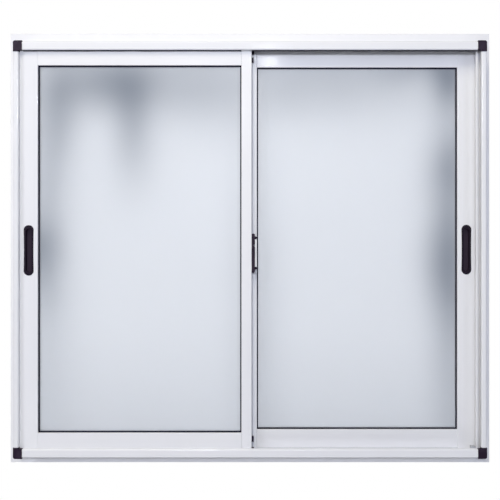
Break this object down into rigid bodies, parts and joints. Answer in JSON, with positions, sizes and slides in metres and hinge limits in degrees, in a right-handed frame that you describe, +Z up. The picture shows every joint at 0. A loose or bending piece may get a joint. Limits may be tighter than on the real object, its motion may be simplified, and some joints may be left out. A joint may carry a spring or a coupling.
{
  "type": "two-leaf sliding window",
  "caption": "Horizontal sliding window in white lacquered aluminium, with two glazed sashes in a tracked frame, a rear fixing flange, flush pulls and a centre latch.",
  "frame": {"origin": "on the room-side face of the rear flange, at mid width, level with the underside of the sill box", "axes": "+X to the right as seen from the room, +Y from the room to the outside, +Z up"},
  "size_m": [1.2, 0.0654, 1.074],
  "materials": {
    "white_lacquer": "gloss",
    "frosted_glass": "frosted",
    "black_rubber": "matte",
    "black_plastic": "satin",
    "grey_pile": "matte",
    "grey_nylon": "satin"
  },
  "bodies": {
    "root": {"head_frame": "white_lacquer", "sill_frame": "white_lacquer", "left_jamb": "white_lacquer", "right_jamb": "white_lacquer", "top_left_corner": "black_plastic", "top_right_corner": "black_plastic", "bottom_left_corner": "black_plastic", "bottom_right_corner": "black_plastic", "head_seal_block": "black_plastic", "sill_seal_block": "black_plastic", "left_buffer": "grey_nylon", "right_buffer": "grey_nylon", "left_stile": "white_lacquer", "left_interlock": "white_lacquer", "left_top_rail": "white_lacquer", "left_bottom_rail": "white_lacquer", "left_glass": "frosted_glass", "left_gasket": "black_rubber", "left_top_piles": "grey_pile", "left_bottom_piles": "grey_pile", "left_top_guides": "black_plastic", "left_roller_housings": "black_plastic", "left_wheels": "grey_nylon", "left_pull": "black_plastic", "right_stile": "white_lacquer", "right_interlock": "white_lacquer", "right_top_rail": "white_lacquer", "right_bottom_rail": "white_lacquer", "right_glass": "frosted_glass", "right_gasket": "black_rubber", "right_top_piles": "grey_pile", "right_bottom_piles": "grey_pile", "right_top_guides": "black_plastic", "right_roller_housings": "black_plastic", "right_wheels": "grey_nylon", "right_pull": "black_plastic", "latch_body": "black_plastic", "latch_arms": "black_plastic", "latch_keeper": "white_lacquer"}
  },
  "joints": []
}
